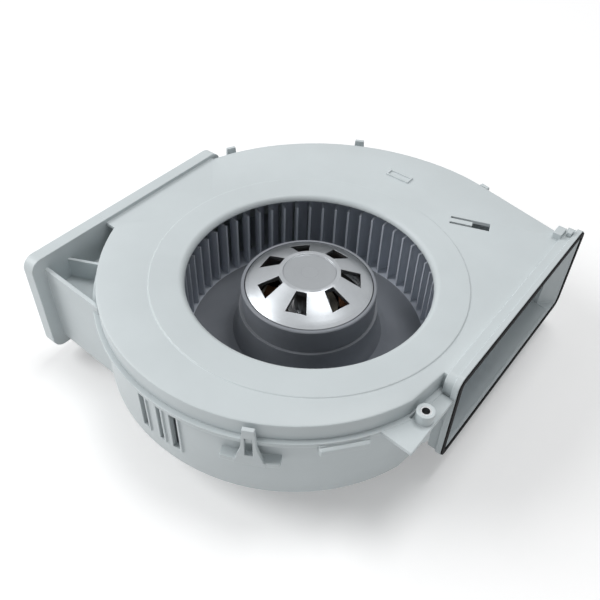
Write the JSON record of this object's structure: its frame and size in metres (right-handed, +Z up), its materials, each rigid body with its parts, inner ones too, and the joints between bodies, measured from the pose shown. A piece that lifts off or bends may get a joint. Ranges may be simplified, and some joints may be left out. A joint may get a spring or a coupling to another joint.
{
  "type": "centrifugal blower",
  "caption": "Single-inlet centrifugal blower: moulded scroll housing with rectangular outlet flange, forward-curved wheel and external-rotor DC motor.",
  "frame": {"origin": "on the rotor axis, at the underside of the electronics cover", "axes": "+Z up along the rotor axis towards the inlet, +X out of the rectangular outlet, +Y along the outlet flange towards its back end"},
  "size_m": [0.2548, 0.2812, 0.0886],
  "materials": {
    "housing_grey": "fine satin moulded plastic",
    "gasket_black": "matte rubber",
    "impeller_black": "satin glass-filled plastic",
    "bell_aluminium": "bright spun aluminium",
    "cast_aluminium": "as cast",
    "steel": "ground steel",
    "magnet": "dark ferrite",
    "cage_brass": "pressed brass",
    "pin_brass": "bright",
    "copper": "enamelled copper wire",
    "insulator_cream": "moulded",
    "board_green": "solder mask",
    "component_dark": "moulded",
    "socket_white": "moulded",
    "cover_grey": "textured moulding"
  },
  "bodies": {
    "housing": {"inlet_cover": "housing_grey", "scroll_housing": "housing_grey", "front_apron": "housing_grey", "boss_sleeve": "steel", "outlet_gasket": "gasket_black", "upper_outer_race": "steel", "lower_outer_race": "steel", "preload_spring": "steel", "motor_flange": "cast_aluminium", "stator_core": "steel", "upper_insulator": "insulator_cream", "lower_insulator": "insulator_cream", "stator_coils": "copper", "motor_grommets": "gasket_black", "motor_screws": "steel", "driver_board": "board_green", "board_capacitors": "component_dark", "power_transistors": "component_dark", "connector_socket": "socket_white", "connector_pins": "pin_brass", "electronics_cover": "cover_grey", "cover_screws": "steel"},
    "rotor": {"impeller": "impeller_black", "rotor_bell": "bell_aluminium", "rotor_yoke": "steel", "magnet_ring": "magnet", "shaft": "steel", "upper_inner_race": "steel", "lower_inner_race": "steel", "shim_washer": "steel", "shaft_circlip": "steel"},
    "upper_cage": {"upper_ball_cage": "cage_brass", "upper_balls": "steel"},
    "lower_cage": {"lower_ball_cage": "cage_brass", "lower_balls": "steel"}
  },
  "joints": [
    {"name": "rotor_spin", "type": "hinge", "parent": "housing", "child": "rotor", "pos_m": [0, 0, 0.05], "axis": [0, 0, 1], "continuous": true},
    {"name": "upper_cage_spin", "type": "hinge", "parent": "housing", "child": "upper_cage", "pos_m": [0, 0, 0.05], "axis": [0, 0, 1], "continuous": true},
    {"name": "lower_cage_spin", "type": "hinge", "parent": "housing", "child": "lower_cage", "pos_m": [0, 0, 0.023], "axis": [0, 0, 1], "continuous": true}
  ],
  "couplings": [
    {"joint": "upper_cage_spin", "follows": "rotor_spin", "ratio": 0.368},
    {"joint": "lower_cage_spin", "follows": "rotor_spin", "ratio": 0.368}
  ]
}
